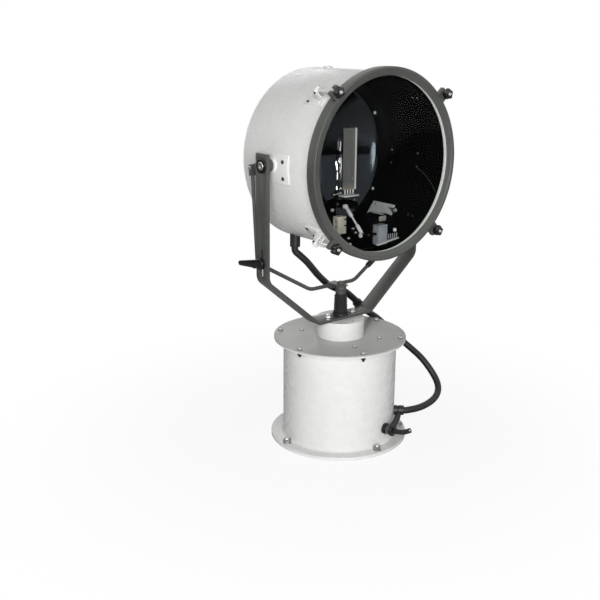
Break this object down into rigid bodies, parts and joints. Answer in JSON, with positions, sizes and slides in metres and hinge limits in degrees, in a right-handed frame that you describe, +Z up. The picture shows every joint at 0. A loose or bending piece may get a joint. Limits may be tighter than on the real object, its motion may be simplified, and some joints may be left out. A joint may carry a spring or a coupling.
{
  "type": "marine searchlight",
  "caption": "White marine searchlight on a drum pedestal, with a grey strap yoke, a push rod and bow for tilt, and a black conduit.",
  "frame": {"origin": "centre of the base flange's underside", "axes": "+Z up along the pan axis, the beam leaves towards -Y, +X along the tilt axis"},
  "size_m": [0.5215, 0.3916, 0.9121],
  "materials": {
    "white_paint": "gloss white paint",
    "grey_paint": "satin dark grey paint",
    "plate_paint": "satin light grey paint",
    "black_paint": "matt black paint",
    "stainless": "bright",
    "steel": "satin",
    "bronze": "satin",
    "rubber": "matt",
    "black_plastic": "gloss",
    "mirror": "polished",
    "glass": "clear",
    "ceramic": "matt cream",
    "tinned": "zinc plated sheet"
  },
  "bodies": {
    "pedestal": {"pedestal_drum": "white_paint", "top_plate": "plate_paint", "bearing_housing": "steel", "pan_motor": "black_paint", "deck_bolt_1": "stainless", "deck_bolt_2": "stainless", "deck_bolt_3": "stainless", "deck_bolt_4": "stainless", "conduit_gland": "black_plastic", "cable_gland": "black_plastic", "gland_lead": "rubber", "control_cable": "rubber", "conduit_lower": "rubber"},
    "pinion": {"pan_pinion": "bronze"},
    "turntable": {"turntable_drum": "white_paint", "pan_gear": "steel", "tilt_actuator": "black_paint", "guide_bush": "bronze", "yoke": "grey_paint", "yoke_bolt_1": "stainless", "yoke_bolt_2": "stainless", "trunnion_bush_left": "black_plastic", "trunnion_bush_right": "black_plastic", "conduit_clip": "black_plastic", "conduit_upper": "rubber", "bellows": "rubber"},
    "tilt_rod": {"push_rod": "black_paint", "tilt_bow": "grey_paint", "bow_bolt": "stainless"},
    "lever": {"clamp_lever": "black_plastic"},
    "link_left": {"link_rod_left": "steel"},
    "link_right": {"link_rod_right": "steel"},
    "lamp": {"barrel": "white_paint", "rear_cover": "white_paint", "bezel": "grey_paint", "front_glass": "glass", "glass_gasket": "rubber", "trunnion_left": "white_paint", "trunnion_right": "white_paint", "crank_left": "grey_paint", "crank_right": "grey_paint", "barrel_gland": "black_plastic", "reflector": "mirror", "lamp_chassis": "black_paint", "terminal_block": "ceramic", "focus_motor": "tinned", "igniter_unit": "tinned"},
    "carriage": {"lamp_carriage": "tinned", "lamp_bulb": "glass", "lamp_hood": "tinned"},
    "focus_arm": {"focus_crank": "steel"},
    "focus_rod": {"focus_link": "stainless"},
    "bolt_1": {"swing_bolt_1": "stainless"},
    "knob_1": {"clamp_knob_1": "black_plastic"},
    "bolt_2": {"swing_bolt_2": "stainless"},
    "knob_2": {"clamp_knob_2": "black_plastic"},
    "bolt_3": {"swing_bolt_3": "stainless"},
    "knob_3": {"clamp_knob_3": "black_plastic"},
    "bolt_4": {"swing_bolt_4": "stainless"},
    "knob_4": {"clamp_knob_4": "black_plastic"}
  },
  "joints": [
    {"name": "pan", "type": "hinge", "parent": "pedestal", "child": "turntable", "pos_m": [0, 0, 0.2593], "axis": [0, 0, 1], "range_deg": [-170, 170], "deforming": ["conduit_lower"]},
    {"name": "pan_pinion_turn", "type": "hinge", "parent": "pedestal", "child": "pinion", "pos_m": [0.078, 0, 0.184], "axis": [0, 0, 1], "range_deg": [-570, 570]},
    {"name": "tilt", "type": "hinge", "parent": "turntable", "child": "lamp", "pos_m": [0, 0, 0.6955], "axis": [1, 0, 0], "range_deg": [-20, 20], "deforming": ["conduit_upper"]},
    {"name": "tilt_drive", "type": "slide", "parent": "turntable", "child": "tilt_rod", "axis": [0, 0, 1], "range_m": [-0.0216, 0.0216], "deforming": ["bellows"]},
    {"name": "clamp_lever_turn", "type": "hinge", "parent": "tilt_rod", "child": "lever", "pos_m": [-0.238, 0.0017, 0.475], "axis": [1, 0, 0], "range_deg": [-60, 60]},
    {"name": "focus", "type": "slide", "parent": "lamp", "child": "carriage", "axis": [0, 1, 0], "range_m": [-0.008, 0.008]},
    {"name": "focus_arm_turn", "type": "hinge", "parent": "lamp", "child": "focus_arm", "pos_m": [-0.0218, -0.1175, 0.5338], "axis": [1, 0, 0], "range_deg": [-16.5, 16.5]},
    {"name": "focus_rod_turn", "type": "hinge", "parent": "focus_arm", "child": "focus_rod", "pos_m": [-0.016, -0.092, 0.5283], "axis": [1, 0, 0], "range_deg": [-23, 23]},
    {"name": "link_left_turn", "type": "hinge", "parent": "lamp", "child": "link_left", "pos_m": [-0.2188, 0.06135, 0.68357], "axis": [1, 0, 0], "range_deg": [-22, 22]},
    {"name": "link_right_turn", "type": "hinge", "parent": "lamp", "child": "link_right", "pos_m": [0.2188, 0.06135, 0.68357], "axis": [1, 0, 0], "range_deg": [-22, 22]},
    {"name": "swing_1", "type": "hinge", "parent": "lamp", "child": "bolt_1", "pos_m": [-0.16047, -0.093, 0.86167], "axis": [-0.7193, 0, -0.6947], "range_deg": [0, 100]},
    {"name": "knob_1_turn", "type": "hinge", "parent": "bolt_1", "child": "knob_1", "pos_m": [-0.16047, -0.1559, 0.86167], "axis": [0, 1, 0], "continuous": true},
    {"name": "swing_2", "type": "hinge", "parent": "lamp", "child": "bolt_2", "pos_m": [0.17274, -0.093, 0.84887], "axis": [-0.6639, 0, 0.7478], "range_deg": [0, 100]},
    {"name": "knob_2_turn", "type": "hinge", "parent": "bolt_2", "child": "knob_2", "pos_m": [0.17274, -0.1559, 0.84887], "axis": [0, 1, 0], "continuous": true},
    {"name": "swing_3", "type": "hinge", "parent": "lamp", "child": "bolt_3", "pos_m": [0.16047, -0.093, 0.52933], "axis": [0.7193, 0, 0.6947], "range_deg": [0, 100]},
    {"name": "knob_3_turn", "type": "hinge", "parent": "bolt_3", "child": "knob_3", "pos_m": [0.16047, -0.1559, 0.52933], "axis": [0, 1, 0], "continuous": true},
    {"name": "swing_4", "type": "hinge", "parent": "lamp", "child": "bolt_4", "pos_m": [-0.1593, -0.093, 0.52822], "axis": [0.7242, 0, -0.6896], "range_deg": [0, 100]},
    {"name": "knob_4_turn", "type": "hinge", "parent": "bolt_4", "child": "knob_4", "pos_m": [-0.1593, -0.1559, 0.52822], "axis": [0, 1, 0], "continuous": true}
  ],
  "couplings": [
    {"joint": "pan_pinion_turn", "follows": "pan", "ratio": -3.3333},
    {"joint": "tilt_drive", "follows": "tilt", "m_per_rad": 0.061352},
    {"joint": "link_left_turn", "follows": "tilt", "ratio": -1.056},
    {"joint": "link_right_turn", "follows": "tilt", "ratio": -1.056},
    {"joint": "focus_arm_turn", "follows": "focus", "rad_per_m": 34.066},
    {"joint": "focus_rod_turn", "follows": "focus", "rad_per_m": -48.077}
  ]
}
